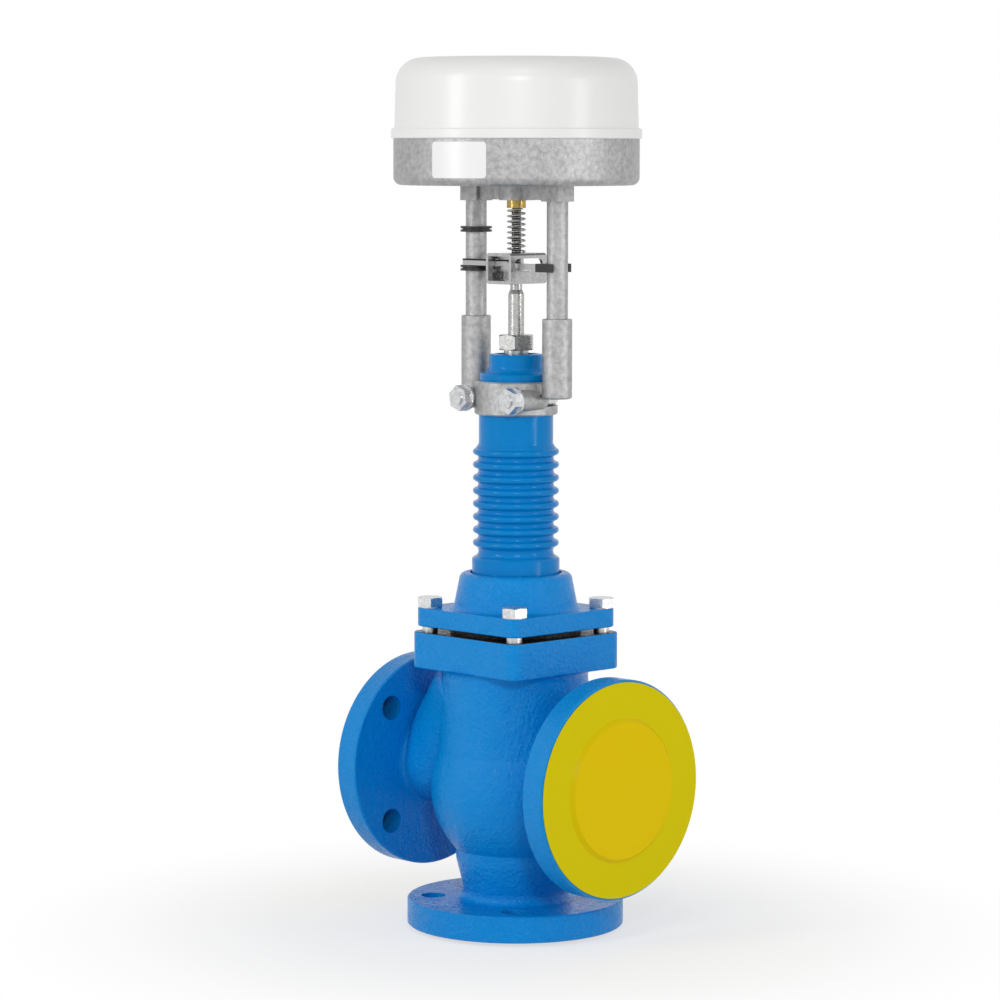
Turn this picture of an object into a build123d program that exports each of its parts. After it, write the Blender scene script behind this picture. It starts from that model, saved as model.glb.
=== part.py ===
from build123d import *
import math
import os

# Three-way control valve with an electric linear actuator. Millimetres, Z up.
# The origin is the centre of the bottom port's sealing face, X runs along the side ports.

# Ports and flanges
flange_r = 82.5
flange_t = 20
raised_face_r = 51
raised_face_t = 3
port_r = 25
port_depth = 40
bolt_circle_r = 62.5
bolt_hole_r = 9.5
face_to_centre = 115
port_height = 118.5
branch_r = 33
hub_extra = 5
hub_fillet = 6
bend_r = 17.5
rim_edge = 1

# Body casting
wall = 8
waist_r = 39.5
band_low_r = 45
band_high_r = 45.8
band_h = 9
band_drop = 12
bulge_r = 64.4
bulge_drop = 13.5
crease_r = 58.6
crease_rise = 17.5
upper_r = 55.2
body_plate = 115
body_plate_t = 27.6
body_plate_rise = 108.5
plate_corner = 10
plate_edge = 1.2
plate_fillet = 5
upper_cavity_r = 46
mouth_r = 50
mouth_depth = 11.5

# Seats and plug
seat_bore_r = 24
seat_ring_r = 31
seat_ring_h = 12
lower_seat_drop = 45.5
upper_seat_rise = 15.5
stroke = 20
plug_r = 28
plug_core_r = 14
plug_disc = 9
skirt_clear = 0.08
skirt_wall = 3
skirt_lap = 15

# Bonnet
bonnet_plate = 111
plate_gap = 4.1
bonnet_plate_t = 14.2
bonnet_bolt_at = 46
bonnet_bolt_r = 6
bonnet_bolt_hole_r = 6.6
bonnet_bolt_depth = 22
hex_head = 18
hex_head_h = 8
washer_face_t = 0.8
gasket_t = 2
dome_low_r = 46.5
dome_high_r = 43
dome_h = 27.2
dome_foot = 4.7
dome_edge = 5
dome_recess_r = 35
dome_recess_depth = 3

# Stem and guides
stem_r = 6
stem_gap = 0.05
stem_rise = 48.5
stem_end_r = 4.5
bush_wall = 4
bush_drop = 19.5

# Finned neck
neck_base_r = 33.3
neck_base_h = 12
neck_thread_r = 26
neck_thread_h = 13.5
fin_r = 32.7
fin_valley_r = 28.7
fin_pitch = 9.9
fin_count = 8
fin_rise = 10.5
neck_smooth_r = 28.2
neck_smooth_h = 22.2
fin_runout = 6.2
neck_ring_r = 27
groove_r = 21.9
neck_lip = 1.4
neck_bore_r = 9

# Packing
housing_flange_r = 27.4
housing_flange_t = 4.4
housing_r = 20.4
housing_h = 14.4
housing_spigot_r = 15
housing_spigot_h = 11.6
packing_r = 11
packing_floor = 4
packing_ring_h = 4
packing_rings = 4
gland_collar_r = 9.35
gland_gap = 3
gland_hex = 25
gland_hex_h = 11.5

# Yoke clamp
yoke_ring_r = 31.5
yoke_ring_h = 25.3
column_at = 44
column_r = 8
sleeve_r = 11.25
sleeve_rise = 13.5
sleeve_h = 59.8
lug_at = 27
lug_r = 8
lug_end = 27
u_bolt_r = 5
u_bolt_rise = 12.1
u_bolt_end = 37
clamp_nut_hex = 17
clamp_nut_h = 7
clamp_washer_r = 10
clamp_washer_t = 1.5
slide_gap = 0.1

# Coupling, arm and stroke markers
bracket_x = 13.6
bracket_y = 18.6
bracket_rise = 4.4
bracket_h = 23.2
bracket_wall = 2.4
slot_rise = 14.8
slot_length = 29
slot_height = 9
arm_h = 4.9
arm_end = 47
arm_y = 8.2
arm_t = 3.2
fork_rise = 9.7
fork_h = 6.3
fork_left = 32
fork_right = 48
ring_r = 12
ring_h = 4.2
ring_rise = 8.9
ring_gap = 0.2

# Spring and spindle
spindle_r = 3.6
spindle_above_deck = 30
bush_r = 7.2
bush_h = 17.2
spring_r = 6.6
spring_wire = 0.6
spring_turns = 8

# Actuator housing
base_clear = 50.9
base_h = 34.7
base_r = 92.6
base_wall = 4
base_edge = 6
boss_h = 11.9
boss_side = 18.5
boss_corner = 2
bush_boss_r = 13
cover_step = 1.1
rim_overhang = 1.7
lip_step = 2.2
rim_h = 7.9
cover_h = 52.5
cover_wall = 2.6
cover_edge = 19

# Drive
tooth_module = 1.5
drive_teeth = 36
idler_teeth = 24
pinion_teeth = 12
gear_rise = 7.6
gear_h = 8
idler_angle = 120
motor_r = 19
motor_h = 34
shaft_r = 2.5
deck_rise = 18.6
deck_t = 2
deck_margin = 12.6

# Port caps
cap_r = 80.7
cap_t = 0.9
cap_gap = 0.2
cap_slope = 3
cap_plug_r = 24.4
cap_plug_depth = 9

# Fittings inside and on the actuator
post_margin = 20.6
post_angle = 0
post_r = 4
gland_angles = (112, 158)
gland_rise = 17.8
gland_thread_r = 9.9
cable_r = 4
board_at = (0, -44)
board_x = 90
board_y = 40
board_gap = 6


def save(solid, name):
    solid.label = name
    export_step(solid, f"parts/{name}.step")


def gear_outline(teeth, start):
    """Corner points of a spur gear with a tooth centred on the start angle."""
    pitch_r = tooth_module * teeth / 2
    base = pitch_r * math.cos(math.radians(20))
    tip = pitch_r + 0.9 * tooth_module
    root = pitch_r - 1.2 * tooth_module
    half = math.pi / 2 / teeth - 0.12 / pitch_r
    lean = math.tan(math.radians(20)) - math.radians(20)
    points = []
    for tooth in range(teeth):
        centre = math.radians(start) + 2 * math.pi * tooth / teeth
        flank = []
        for step in range(4):
            r = max(root, base) + (tip - max(root, base)) * step / 3
            roll = math.acos(min(1, base / r))
            flank.append((r, half + lean - (math.tan(roll) - roll)))
        low = [(root, centre - flank[0][1]), (root, centre + flank[0][1])]
        rise = [(r, centre - a) for r, a in flank]
        fall = [(r, centre + a) for r, a in reversed(flank)]
        for r, a in [low[0]] + rise + fall + [low[1]]:
            points.append((r * math.cos(a), r * math.sin(a)))
    return points


os.makedirs("parts", exist_ok=True)

# Heights of the body, each from the one it stands on
flange_high = raised_face_t + flange_t
flange_back = face_to_centre - flange_high
lower_seat_top = port_height - lower_seat_drop
upper_seat_low = port_height + upper_seat_rise
band_high_z = lower_seat_top - band_drop
band_low_z = band_high_z - band_h
bulge_z = port_height - bulge_drop
crease_z = port_height + crease_rise
body_plate_high = port_height + body_plate_rise
body_plate_low = body_plate_high - body_plate_t
mouth_floor = body_plate_high - mouth_depth

# Heights of the bonnet, neck, packing and yoke
bonnet_plate_low = body_plate_high + plate_gap
bonnet_plate_top = bonnet_plate_low + bonnet_plate_t
dome_top = bonnet_plate_top + dome_h
bush_low = mouth_floor - bush_drop
neck_seat = dome_top - dome_recess_depth
neck_thread_low = neck_seat - neck_thread_h
neck_base_top = dome_top + neck_base_h
first_fin = neck_base_top + fin_rise
last_fin = first_fin + fin_pitch * (fin_count - 1)
neck_smooth_z = last_fin + fin_runout
yoke_ring_low = neck_smooth_z + neck_smooth_h
yoke_ring_top = yoke_ring_low + yoke_ring_h
u_bolt_z = yoke_ring_low + u_bolt_rise
sleeve_low = yoke_ring_low + sleeve_rise
sleeve_top = sleeve_low + sleeve_h
neck_top = yoke_ring_top + neck_lip
housing_flange_top = neck_top + housing_flange_t
housing_top = housing_flange_top + housing_h
housing_spigot_low = neck_top - housing_spigot_h
packing_low = housing_spigot_low + packing_floor
gland_hex_low = housing_top + gland_gap
gland_hex_top = gland_hex_low + gland_hex_h

# Heights of the coupling, stroke markers and actuator
stem_shoulder = housing_top + stem_rise
bracket_low = stem_shoulder + bracket_rise
bracket_top = bracket_low + bracket_h
slot_z = bracket_low + slot_rise
fork_low = bracket_low + fork_rise
fork_top = fork_low + fork_h
low_ring_z = bracket_low + ring_rise
arm_low = low_ring_z + ring_h + ring_gap
arm_top = arm_low + arm_h
high_ring_z = arm_top + stroke + ring_gap
base_low = bracket_top + base_clear
base_top = base_low + base_h
boss_low = base_low - boss_h
bush_z = base_low - bush_h
gear_low = base_low + gear_rise
deck_low = base_low + deck_rise
spindle_low = fork_low + 0.6
spindle_top = deck_low + spindle_above_deck
gland_z = base_low + gland_rise
cover_rim_top = base_top + rim_h
cover_top = cover_rim_top + cover_h
cover_r = base_r - cover_step
cover_rim_r = base_r + rim_overhang
lip_r = base_r - lip_step
deck_r = base_r - deck_margin
post_at = base_r - post_margin

# Centre, inward axis, radial direction, drawing normal and hub radius of each flange
flange_frames = [
    ((0, 0, 0), (0, 0, 1), (1, 0, 0), (0, -1, 0), waist_r + 1.5),
    ((face_to_centre, 0, port_height), (-1, 0, 0), (0, 1, 0), (0, 0, 1), branch_r + hub_extra),
    ((-face_to_centre, 0, port_height), (1, 0, 0), (0, 1, 0), (0, 0, -1), branch_r - 1.5),
]

# The left branch rises from its flange and widens into the upper chamber, with its passage inside
bend_low = (4 - flange_back, port_height + 3.5)
bend_high = (-38, port_height + 54.5)
branch_path = [
    ((3 - flange_back, port_height), (1, 0), branch_r),
    ((13 - flange_back, port_height + 8.5), (1, 0.75), branch_r),
    ((32 - flange_back, port_height + 29.5), (1, 1.0), branch_r + 3),
    ((50 - flange_back, port_height + 44.5), (1, 0.8), branch_r + 9),
    ((70 - flange_back, port_height + 53.5), (1, 0.3), branch_r + 14),
]

# Gear train: teeth at the centre line of each pair are in mesh at rest
idler_dist = tooth_module * (drive_teeth + idler_teeth) / 2
pinion_dist = tooth_module * (idler_teeth + pinion_teeth) / 2
pinion_angle = idler_angle + 82.5
idler_at = (
    idler_dist * math.cos(math.radians(idler_angle)),
    idler_dist * math.sin(math.radians(idler_angle)),
)
pinion_at = (
    idler_at[0] + pinion_dist * math.cos(math.radians(pinion_angle)),
    idler_at[1] + pinion_dist * math.sin(math.radians(pinion_angle)),
)
idler_start = idler_angle + 180 + 180 / idler_teeth
gears = (
    ("drive_gear", drive_teeth, idler_angle, (0, 0), spindle_r + 0.06),
    ("idler_gear", idler_teeth, idler_start, idler_at, shaft_r + 0.05),
    ("motor_pinion", pinion_teeth, pinion_angle + 180 + 180 / pinion_teeth, pinion_at, 0.5),
)
board_post_at = [(board_at[0] + x, board_at[1] + y) for x in (-40, 40) for y in (-15, 15)]

# Square top plate of the body
with BuildPart() as top_plate:
    with BuildSketch(Plane.XY.offset(body_plate_low)):
        RectangleRounded(body_plate, body_plate, plate_corner)
    extrude(amount=body_plate_t)
    fillet(top_plate.edges().filter_by(Axis.Z, reverse=True), plate_edge)

# Body outside
with BuildPart() as valve_body:
    with BuildSketch(Plane.XZ):
        with BuildLine():
            Polyline(
                (0, flange_high - 5),
                (waist_r + 1, flange_high - 5),
                (waist_r, flange_high + hub_fillet + 1),
                (band_low_r, band_low_z),
                (band_high_r, band_high_z),
            )
            ThreePointArc(
                (band_high_r, band_high_z),
                (bulge_r - 4.4, (band_high_z + bulge_z) / 2 + 1),
                (bulge_r, bulge_z),
            )
            ThreePointArc(
                (bulge_r, bulge_z),
                (bulge_r - 1.2, (bulge_z + crease_z) / 2 + 0.5),
                (crease_r, crease_z),
            )
            Line((crease_r, crease_z), (upper_r, body_plate_low - plate_fillet))
            ThreePointArc(
                (upper_r, body_plate_low - plate_fillet),
                (upper_r + plate_fillet * 0.29, body_plate_low - plate_fillet * 0.29),
                (upper_r + plate_fillet * 0.9, body_plate_low + 0.5),
            )
            Polyline(
                (upper_r + plate_fillet * 0.9, body_plate_low + 0.5),
                (0, body_plate_low + 0.5),
                (0, flange_high - 5),
            )
        make_face()
    revolve(axis=Axis.Z)
    for (x, z), (dx, dz), section_r in branch_path:
        with BuildSketch(Plane(origin=(x, 0, z), x_dir=(0, 1, 0), z_dir=(dx, 0, dz))):
            Circle(section_r)
    loft()
    with BuildSketch(Plane.YZ):
        with Locations((0, port_height)):
            Circle(branch_r + hub_extra)
    extrude(amount=flange_back + 1)
    add(top_plate.part)
    # Three flanges with raised faces and filleted hubs
    for face_at, inward, radial, normal, hub_r in flange_frames:
        with BuildSketch(Plane(origin=face_at, x_dir=radial, z_dir=normal)):
            with BuildLine():
                Polyline(
                    (0, 0),
                    (raised_face_r, 0),
                    (raised_face_r, raised_face_t),
                    (flange_r - rim_edge, raised_face_t),
                    (flange_r, raised_face_t + rim_edge),
                    (flange_r, flange_high - rim_edge),
                    (flange_r - rim_edge, flange_high),
                    (hub_r + hub_fillet, flange_high),
                )
                ThreePointArc(
                    (hub_r + hub_fillet, flange_high),
                    (hub_r + hub_fillet * 0.29, flange_high + hub_fillet * 0.29),
                    (hub_r, flange_high + hub_fillet),
                )
                Polyline((hub_r, flange_high + hub_fillet), (0, flange_high + hub_fillet), (0, 0))
            make_face()
        revolve(axis=Axis(face_at, inward))
    # Fluid ways
    with BuildSketch(Plane.XZ):
        with BuildLine():
            Polyline(
                (0, -1),
                (port_r, -1),
                (port_r, port_depth),
                (port_r + 0.6, port_depth + 0.6),
                (port_r + 0.6, lower_seat_top - seat_ring_h),
                (seat_ring_r, lower_seat_top - seat_ring_h),
            )
            Line((seat_ring_r, lower_seat_top - seat_ring_h), (seat_ring_r, lower_seat_top - 2))
            Line((seat_ring_r, lower_seat_top - 2), (band_high_r - 0.2, lower_seat_top - 2))
            ThreePointArc(
                (band_high_r - 0.2, lower_seat_top - 2),
                (bulge_r - wall - 3.4, bulge_z - 19),
                (bulge_r - wall, bulge_z),
            )
            ThreePointArc(
                (bulge_r - wall, bulge_z),
                (bulge_r - wall - 2.4, (bulge_z + upper_seat_low) / 2),
                (upper_cavity_r - 2, upper_seat_low),
            )
            Line((upper_cavity_r - 2, upper_seat_low), (seat_ring_r, upper_seat_low))
            Line((seat_ring_r, upper_seat_low), (seat_ring_r, upper_seat_low + seat_ring_h))
            Line((seat_ring_r, upper_seat_low + seat_ring_h), (upper_cavity_r, upper_seat_low + seat_ring_h))
            Line((upper_cavity_r, upper_seat_low + seat_ring_h), (upper_cavity_r, mouth_floor))
            Line((upper_cavity_r, mouth_floor), (mouth_r, mouth_floor))
            Line((mouth_r, mouth_floor), (mouth_r, body_plate_high + 1))
            Line((mouth_r, body_plate_high + 1), (0, body_plate_high + 1))
            Line((0, body_plate_high + 1), (0, -1))
        make_face()
    revolve(axis=Axis.Z, mode=Mode.SUBTRACT)
    rise = (bend_high[0] - bend_low[0], bend_high[1] - bend_low[1])
    with BuildSketch(Plane(origin=(bend_low[0], 0, bend_low[1]), x_dir=(0, 1, 0), z_dir=(rise[0], 0, rise[1]))):
        Circle(bend_r)
    extrude(amount=math.hypot(*rise), mode=Mode.SUBTRACT)
    with Locations((bend_low[0], 0, port_height)):
        Sphere(port_r, mode=Mode.SUBTRACT)
    for side, depth in ((1, face_to_centre - 52), (-1, face_to_centre + bend_low[0])):
        face_at = (side * (face_to_centre + 1), 0, port_height)
        with BuildSketch(Plane(origin=face_at, x_dir=(0, 1, 0), z_dir=(side, 0, 0))):
            Circle(port_r)
        extrude(amount=-depth - 1, mode=Mode.SUBTRACT)
        with BuildSketch(Plane(origin=face_at, x_dir=(0, 1, 0), z_dir=(side, 0, 0))):
            with PolarLocations(bolt_circle_r, 4, start_angle=45):
                Circle(bolt_hole_r)
        extrude(amount=-flange_high - 3, mode=Mode.SUBTRACT)
    with BuildSketch(Plane.XY.offset(-1)):
        with PolarLocations(bolt_circle_r, 4, start_angle=45):
            Circle(bolt_hole_r)
    extrude(amount=flange_high + 3, mode=Mode.SUBTRACT)
    with BuildSketch(Plane.XY.offset(body_plate_high)):
        with GridLocations(2 * bonnet_bolt_at, 2 * bonnet_bolt_at, 2, 2):
            Circle(bonnet_bolt_r)
    extrude(amount=-bonnet_bolt_depth, mode=Mode.SUBTRACT)
save(valve_body.part, "valve_body")

# Seat rings
for ring_name, ring_low in (("lower_seat", lower_seat_top - seat_ring_h), ("upper_seat", upper_seat_low)):
    with BuildPart() as seat:
        with BuildSketch(Plane.XY.offset(ring_low)):
            Circle(seat_ring_r)
            Circle(seat_bore_r, mode=Mode.SUBTRACT)
        extrude(amount=seat_ring_h)
        bore_edges = seat.edges().filter_by(GeomType.CIRCLE).filter_by(lambda e: abs(e.radius - seat_bore_r) < 0.01)
        chamfer(bore_edges, 1.5)
    save(seat.part, ring_name)

# Plug with windowed guide skirts
skirt_r = seat_bore_r - skirt_clear
plug_top = upper_seat_low - stroke
with BuildPart() as plug:
    with BuildSketch(Plane.XZ):
        Polygon(
            (stem_r, lower_seat_top),
            (skirt_r - 0.4, lower_seat_top),
            (plug_r, lower_seat_top + 3),
            (plug_r, lower_seat_top + plug_disc),
            (plug_core_r, lower_seat_top + plug_disc + 5),
            (plug_core_r, plug_top - plug_disc - 5),
            (plug_r, plug_top - plug_disc),
            (plug_r, plug_top - 3),
            (skirt_r - 0.4, plug_top),
            (stem_r, plug_top),
            align=None,
        )
    revolve(axis=Axis.Z)
    skirts = (
        (lower_seat_top - skirt_lap - stroke + 6, lower_seat_top + 1),
        (plug_top - 1, upper_seat_low + seat_ring_h + 4),
    )
    for low, high in skirts:
        with BuildSketch(Plane.XY.offset(low)):
            Circle(skirt_r)
            Circle(skirt_r - skirt_wall, mode=Mode.SUBTRACT)
        extrude(amount=high - low)
    windows = ((lower_seat_top - 8, 12), (plug_top + 10, 14))
    for height, tall in windows:
        for turn in (0, 60, 120):
            with BuildSketch(Plane.XY.offset(height - tall / 2)):
                with Locations(Location((0, 0, 0), turn)):
                    Rectangle(60, 14)
            extrude(amount=tall, mode=Mode.SUBTRACT)
save(plug.part, "plug")

# Stem
with BuildPart() as stem:
    with BuildSketch(Plane.XZ):
        Polygon(
            (0, lower_seat_top),
            (stem_r, lower_seat_top),
            (stem_r, stem_shoulder - 3.2),
            (stem_end_r, stem_shoulder),
            (stem_end_r, bracket_low + bracket_wall + 7.5),
            (0, bracket_low + bracket_wall + 7.5),
            align=None,
        )
    revolve(axis=Axis.Z)
save(stem.part, "stem")

# Bonnet
bush_r_out = stem_r + stem_gap + bush_wall
spigot_r = mouth_r - slide_gap
spigot_low = mouth_floor + gasket_t
foot_r = spigot_r + 3
foot_arc = (dome_low_r + 0.3 * (foot_r - dome_low_r), bonnet_plate_top + 0.25 * dome_foot)
with BuildPart() as bonnet:
    with BuildSketch(Plane.XY.offset(bonnet_plate_low)):
        RectangleRounded(bonnet_plate, bonnet_plate, plate_corner)
    extrude(amount=bonnet_plate_t)
    fillet(bonnet.edges().filter_by(Axis.Z, reverse=True), plate_edge)
    with BuildSketch(Plane.XY.offset(bonnet_plate_low)):
        Circle(spigot_r - 4)
    extrude(amount=bonnet_plate_t, mode=Mode.SUBTRACT)
    with BuildSketch(Plane.XZ):
        with BuildLine():
            Polyline(
                (bush_r_out, bush_low),
                (bush_r_out + 5, bush_low),
                (bush_r_out + 5, spigot_low),
                (spigot_r, spigot_low),
                (spigot_r, bonnet_plate_low + 2),
                (foot_r, bonnet_plate_low + 2),
                (foot_r, bonnet_plate_top),
            )
            ThreePointArc((foot_r, bonnet_plate_top), foot_arc, (dome_low_r, bonnet_plate_top + dome_foot))
            Line((dome_low_r, bonnet_plate_top + dome_foot), (dome_high_r, dome_top - dome_edge))
            ThreePointArc(
                (dome_high_r, dome_top - dome_edge),
                (dome_high_r - 1.6, dome_top - 1.5),
                (dome_high_r - dome_edge, dome_top),
            )
            Polyline(
                (dome_high_r - dome_edge, dome_top),
                (dome_recess_r, dome_top),
                (dome_recess_r, neck_seat),
                (neck_thread_r, neck_seat),
                (neck_thread_r, neck_thread_low),
                (bush_r_out, neck_thread_low),
                (bush_r_out, bush_low),
            )
        make_face()
    revolve(axis=Axis.Z)
    with BuildSketch(Plane.XY.offset(bonnet_plate_low)):
        with GridLocations(2 * bonnet_bolt_at, 2 * bonnet_bolt_at, 2, 2):
            Circle(bonnet_bolt_hole_r)
    extrude(amount=bonnet_plate_t + 8, mode=Mode.SUBTRACT)
save(bonnet.part, "bonnet")

# Gasket between body and bonnet
with BuildPart() as gasket:
    with BuildSketch(Plane.XY.offset(mouth_floor)):
        Circle(spigot_r)
        Circle(upper_cavity_r + 0.5, mode=Mode.SUBTRACT)
    extrude(amount=gasket_t)
save(gasket.part, "bonnet_gasket")

# Four bonnet bolts, their hexagons turned down to a cone at the top
with BuildPart() as bolt:
    with BuildSketch(Plane.XY.offset(bonnet_plate_top + washer_face_t)):
        RegularPolygon(hex_head / 2, 6, major_radius=False, rotation=20)
    extrude(amount=hex_head_h - washer_face_t)
    with BuildSketch(Plane.XZ):
        Polygon(
            (0, bonnet_plate_top),
            (hex_head * 0.6, bonnet_plate_top),
            (hex_head * 0.6, bonnet_plate_top + hex_head_h - 1),
            (hex_head * 0.47, bonnet_plate_top + hex_head_h),
            (0, bonnet_plate_top + hex_head_h),
            align=None,
        )
    revolve(axis=Axis.Z, mode=Mode.INTERSECT)
    with BuildSketch(Plane.XY.offset(bonnet_plate_top)):
        Circle(hex_head / 2)
    extrude(amount=washer_face_t)
    with BuildSketch(Plane.XY.offset(body_plate_high - bonnet_bolt_depth + 3)):
        Circle(bonnet_bolt_r)
    extrude(amount=bonnet_plate_top - body_plate_high + bonnet_bolt_depth - 3)
with BuildPart() as bonnet_bolts:
    with GridLocations(2 * bonnet_bolt_at, 2 * bonnet_bolt_at, 2, 2):
        add(bolt.part)
save(bonnet_bolts.part, "bonnet_bolts")

# Stem guide bush in the bonnet
with BuildPart() as guide_bush:
    with BuildSketch(Plane.XY.offset(bush_low)):
        Circle(bush_r_out)
        Circle(stem_r + stem_gap, mode=Mode.SUBTRACT)
    extrude(amount=neck_thread_low - bush_low - 20)
save(guide_bush.part, "guide_bush")

# Finned neck
fin_mid_r = (fin_r + fin_valley_r) / 2
fin_quarter = fin_pitch / 4
with BuildPart() as cooling_neck:
    with BuildSketch(Plane.XZ):
        with BuildLine():
            Polyline(
                (neck_bore_r, neck_thread_low),
                (neck_thread_r, neck_thread_low),
                (neck_thread_r, neck_seat),
                (neck_base_r, neck_seat),
                (neck_base_r, neck_base_top - 1.5),
                (neck_base_r - 1.5, neck_base_top),
            )
            ThreePointArc(
                (neck_base_r - 1.5, neck_base_top),
                (fin_valley_r, first_fin - fin_pitch / 2),
                (fin_mid_r, first_fin - fin_quarter),
            )
            for fin in range(fin_count):
                z = first_fin + fin_pitch * fin
                ThreePointArc((fin_mid_r, z - fin_quarter), (fin_r, z), (fin_mid_r, z + fin_quarter))
                if fin < fin_count - 1:
                    ThreePointArc(
                        (fin_mid_r, z + fin_quarter),
                        (fin_valley_r, z + 2 * fin_quarter),
                        (fin_mid_r, z + 3 * fin_quarter),
                    )
            Polyline(
                (fin_mid_r, last_fin + fin_quarter),
                (neck_smooth_r, neck_smooth_z),
                (neck_smooth_r, yoke_ring_low),
                (neck_ring_r, yoke_ring_low),
                (neck_ring_r, u_bolt_z - u_bolt_r - 0.2),
                (groove_r, u_bolt_z - u_bolt_r - 0.2),
                (groove_r, u_bolt_z + u_bolt_r + 0.2),
                (neck_ring_r, u_bolt_z + u_bolt_r + 0.2),
                (neck_ring_r, neck_top),
                (housing_spigot_r, neck_top),
                (housing_spigot_r, housing_spigot_low),
                (neck_bore_r, housing_spigot_low),
                (neck_bore_r, neck_thread_low),
            )
        make_face()
    revolve(axis=Axis.Z)
save(cooling_neck.part, "cooling_neck")

# Packing housing
with BuildPart() as packing_housing:
    with BuildSketch(Plane.XZ):
        with BuildLine():
            Polyline(
                (stem_r + 1, housing_spigot_low),
                (housing_spigot_r, housing_spigot_low),
                (housing_spigot_r, neck_top),
                (housing_flange_r, neck_top),
                (housing_flange_r, housing_flange_top - 1),
                (housing_flange_r - 1, housing_flange_top),
            )
            ThreePointArc(
                (housing_flange_r - 1, housing_flange_top),
                (housing_r + 2.2, housing_flange_top + 1.4),
                (housing_r, housing_flange_top + 5),
            )
            Polyline(
                (housing_r, housing_flange_top + 5),
                (housing_r, housing_top - 1),
                (housing_r - 1, housing_top),
                (packing_r + 5.5, housing_top),
                (packing_r + 4, housing_top - 1.5),
                (packing_r, housing_top - 1.5),
                (packing_r, packing_low),
                (stem_r + 1, packing_low),
                (stem_r + 1, housing_spigot_low),
            )
        make_face()
    revolve(axis=Axis.Z)
save(packing_housing.part, "packing_housing")

# Packing rings
with BuildPart() as packing:
    for ring in range(packing_rings):
        with BuildSketch(Plane.XY.offset(packing_low + ring * packing_ring_h)):
            Circle(packing_r)
            Circle(stem_r + stem_gap, mode=Mode.SUBTRACT)
        extrude(amount=packing_ring_h - 0.3)
save(packing.part, "packing_rings")

# Gland nut
packing_top = packing_low + packing_rings * packing_ring_h
with BuildPart() as gland_nut:
    with BuildSketch(Plane.XY.offset(gland_hex_low)):
        RegularPolygon(gland_hex / 2, 6, major_radius=False, rotation=12)
    extrude(amount=gland_hex_top - gland_hex_low)
    with BuildSketch(Plane.XZ):
        Polygon(
            (0, gland_hex_low),
            (gland_hex / 2, gland_hex_low),
            (gland_hex / 2 + 3, gland_hex_low + 2),
            (gland_hex / 2 + 3, gland_hex_top - 2),
            (gland_hex / 2, gland_hex_top),
            (0, gland_hex_top),
            align=None,
        )
    revolve(axis=Axis.Z, mode=Mode.INTERSECT)
    with BuildSketch(Plane.XY.offset(housing_top - 1.5)):
        Circle(gland_collar_r)
    extrude(amount=gland_hex_low - housing_top + 1.5)
    with BuildSketch(Plane.XY.offset(packing_top)):
        Circle(packing_r)
    extrude(amount=housing_top - 1.5 - packing_top)
    with BuildSketch(Plane.XY.offset(packing_top)):
        Circle(stem_r + stem_gap)
    extrude(amount=gland_hex_top - packing_top, mode=Mode.SUBTRACT)
save(gland_nut.part, "gland_nut")

# Yoke clamp casting
with BuildPart() as yoke:
    with BuildSketch(Plane.XY.offset(yoke_ring_low)):
        Circle(yoke_ring_r)
    extrude(amount=yoke_ring_top - yoke_ring_low)
    chamfer(yoke.edges().filter_by(GeomType.CIRCLE), 1)
    with BuildSketch(Plane.XY.offset(sleeve_low + 3)):
        Rectangle(2 * column_at, 15)
    extrude(amount=yoke_ring_top - sleeve_low - 4)
    with BuildSketch(Plane.XZ):
        with Locations((-lug_at, u_bolt_z), (lug_at, u_bolt_z)):
            Circle(lug_r)
    extrude(amount=lug_end)
    with BuildSketch(Plane.XY.offset(sleeve_low)):
        with Locations((-column_at, 0), (column_at, 0)):
            Circle(sleeve_r)
    extrude(amount=sleeve_top - sleeve_low)
    sleeve_ends = yoke.edges().filter_by(GeomType.CIRCLE).filter_by(lambda e: abs(e.radius - sleeve_r) < 0.01)
    fillet(sleeve_ends.filter_by_position(Axis.Z, sleeve_top - 1, sleeve_top + 1), 0.8)
    fillet(sleeve_ends.filter_by_position(Axis.Z, sleeve_low - 1, sleeve_low + 1), 2)
    with BuildSketch(Plane.XY.offset(yoke_ring_low)):
        Circle(neck_ring_r)
    extrude(amount=yoke_ring_top - yoke_ring_low, mode=Mode.SUBTRACT)
    with BuildSketch(Plane.XY.offset(sleeve_low + 4)):
        with Locations((-column_at, 0), (column_at, 0)):
            Circle(column_r)
    extrude(amount=sleeve_top - sleeve_low, mode=Mode.SUBTRACT)
    with BuildSketch(Plane.XZ.offset(-1)):
        with Locations((-lug_at, u_bolt_z), (lug_at, u_bolt_z)):
            Circle(u_bolt_r + slide_gap)
    extrude(amount=lug_end + 2, mode=Mode.SUBTRACT)
    with BuildSketch(Plane.XY.offset(u_bolt_z - u_bolt_r - 0.3)):
        with Locations((0, yoke_ring_r)):
            Rectangle(2 * (lug_at + u_bolt_r + 0.3), 2 * yoke_ring_r)
    extrude(amount=2 * u_bolt_r + 0.6, mode=Mode.SUBTRACT)
save(yoke.part, "yoke_clamp")

# U-bolt round the neck groove
with BuildPart() as u_bolt:
    with BuildLine(Plane.XY.offset(u_bolt_z)):
        Line((-lug_at, -u_bolt_end), (-lug_at, 0))
        ThreePointArc((-lug_at, 0), (0, lug_at), (lug_at, 0))
        Line((lug_at, 0), (lug_at, -u_bolt_end))
    with BuildSketch(Plane(origin=(-lug_at, -u_bolt_end, u_bolt_z), z_dir=(0, 1, 0))):
        Circle(u_bolt_r)
    sweep()
save(u_bolt.part, "u_bolt")

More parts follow.
